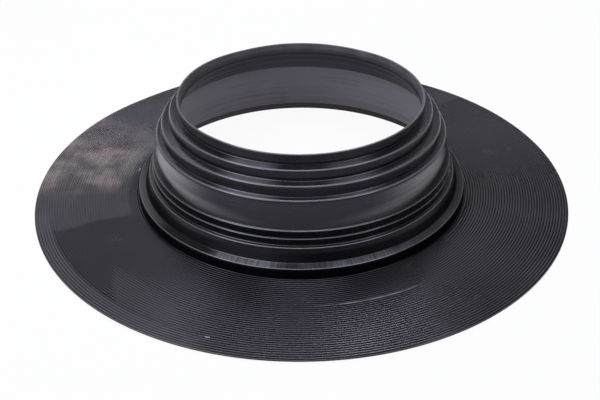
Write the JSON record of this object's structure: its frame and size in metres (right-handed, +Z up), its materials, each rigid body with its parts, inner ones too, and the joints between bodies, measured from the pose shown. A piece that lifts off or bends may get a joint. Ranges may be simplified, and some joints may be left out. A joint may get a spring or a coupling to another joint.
{
  "type": "pipe flashing boot",
  "caption": "Round rubber roof flashing with a wide ribbed flange and a stepped sleeve that narrows to a thin lip gripping the pipe.",
  "frame": {"origin": "centre of the flange's flat underside, on the pipe's axis", "axes": "+Z up along the pipe's axis, from the flange towards the lip; X and Y lie in the flange"},
  "size_m": [0.5, 0.5, 0.0961],
  "materials": {
    "rubber": "satin black moulded rubber, lightly dusted"
  },
  "bodies": {
    "root": {"flashing_boot": "rubber"}
  },
  "joints": []
}
